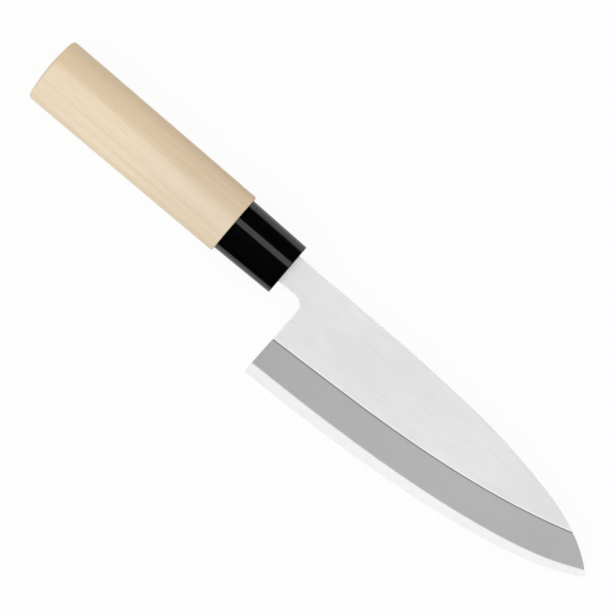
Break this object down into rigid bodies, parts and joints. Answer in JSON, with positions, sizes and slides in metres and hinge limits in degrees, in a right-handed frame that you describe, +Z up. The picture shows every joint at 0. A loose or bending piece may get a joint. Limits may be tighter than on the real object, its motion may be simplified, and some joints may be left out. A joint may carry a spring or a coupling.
{
  "type": "deba knife",
  "caption": "Single-bevel Japanese butchery knife with a thick tapered blade, a hidden tang, a black resin ferrule and a D-section wooden handle.",
  "frame": {"origin": "on the surface that the knife is set down on, under the middle of its length and width", "axes": "+X along the knife towards the tip, +Y across the blade towards the spine, +Z up out of the bevelled side of the blade; the flat back of the blade faces -Z"},
  "size_m": [0.3075, 0.0588, 0.0233],
  "materials": {
    "soft_iron": "satin flat and neck, matte ground bevel",
    "hard_steel": "finely ground, bright",
    "black_resin": "moulded, glossy",
    "pale_wood": "bare, finely sanded magnolia",
    "cured_adhesive": "cured, hidden"
  },
  "bodies": {
    "root": {"blade_body": "soft_iron", "hard_steel_edge": "hard_steel", "ferrule": "black_resin", "wooden_handle": "pale_wood", "tang_bedding": "cured_adhesive"}
  },
  "joints": []
}
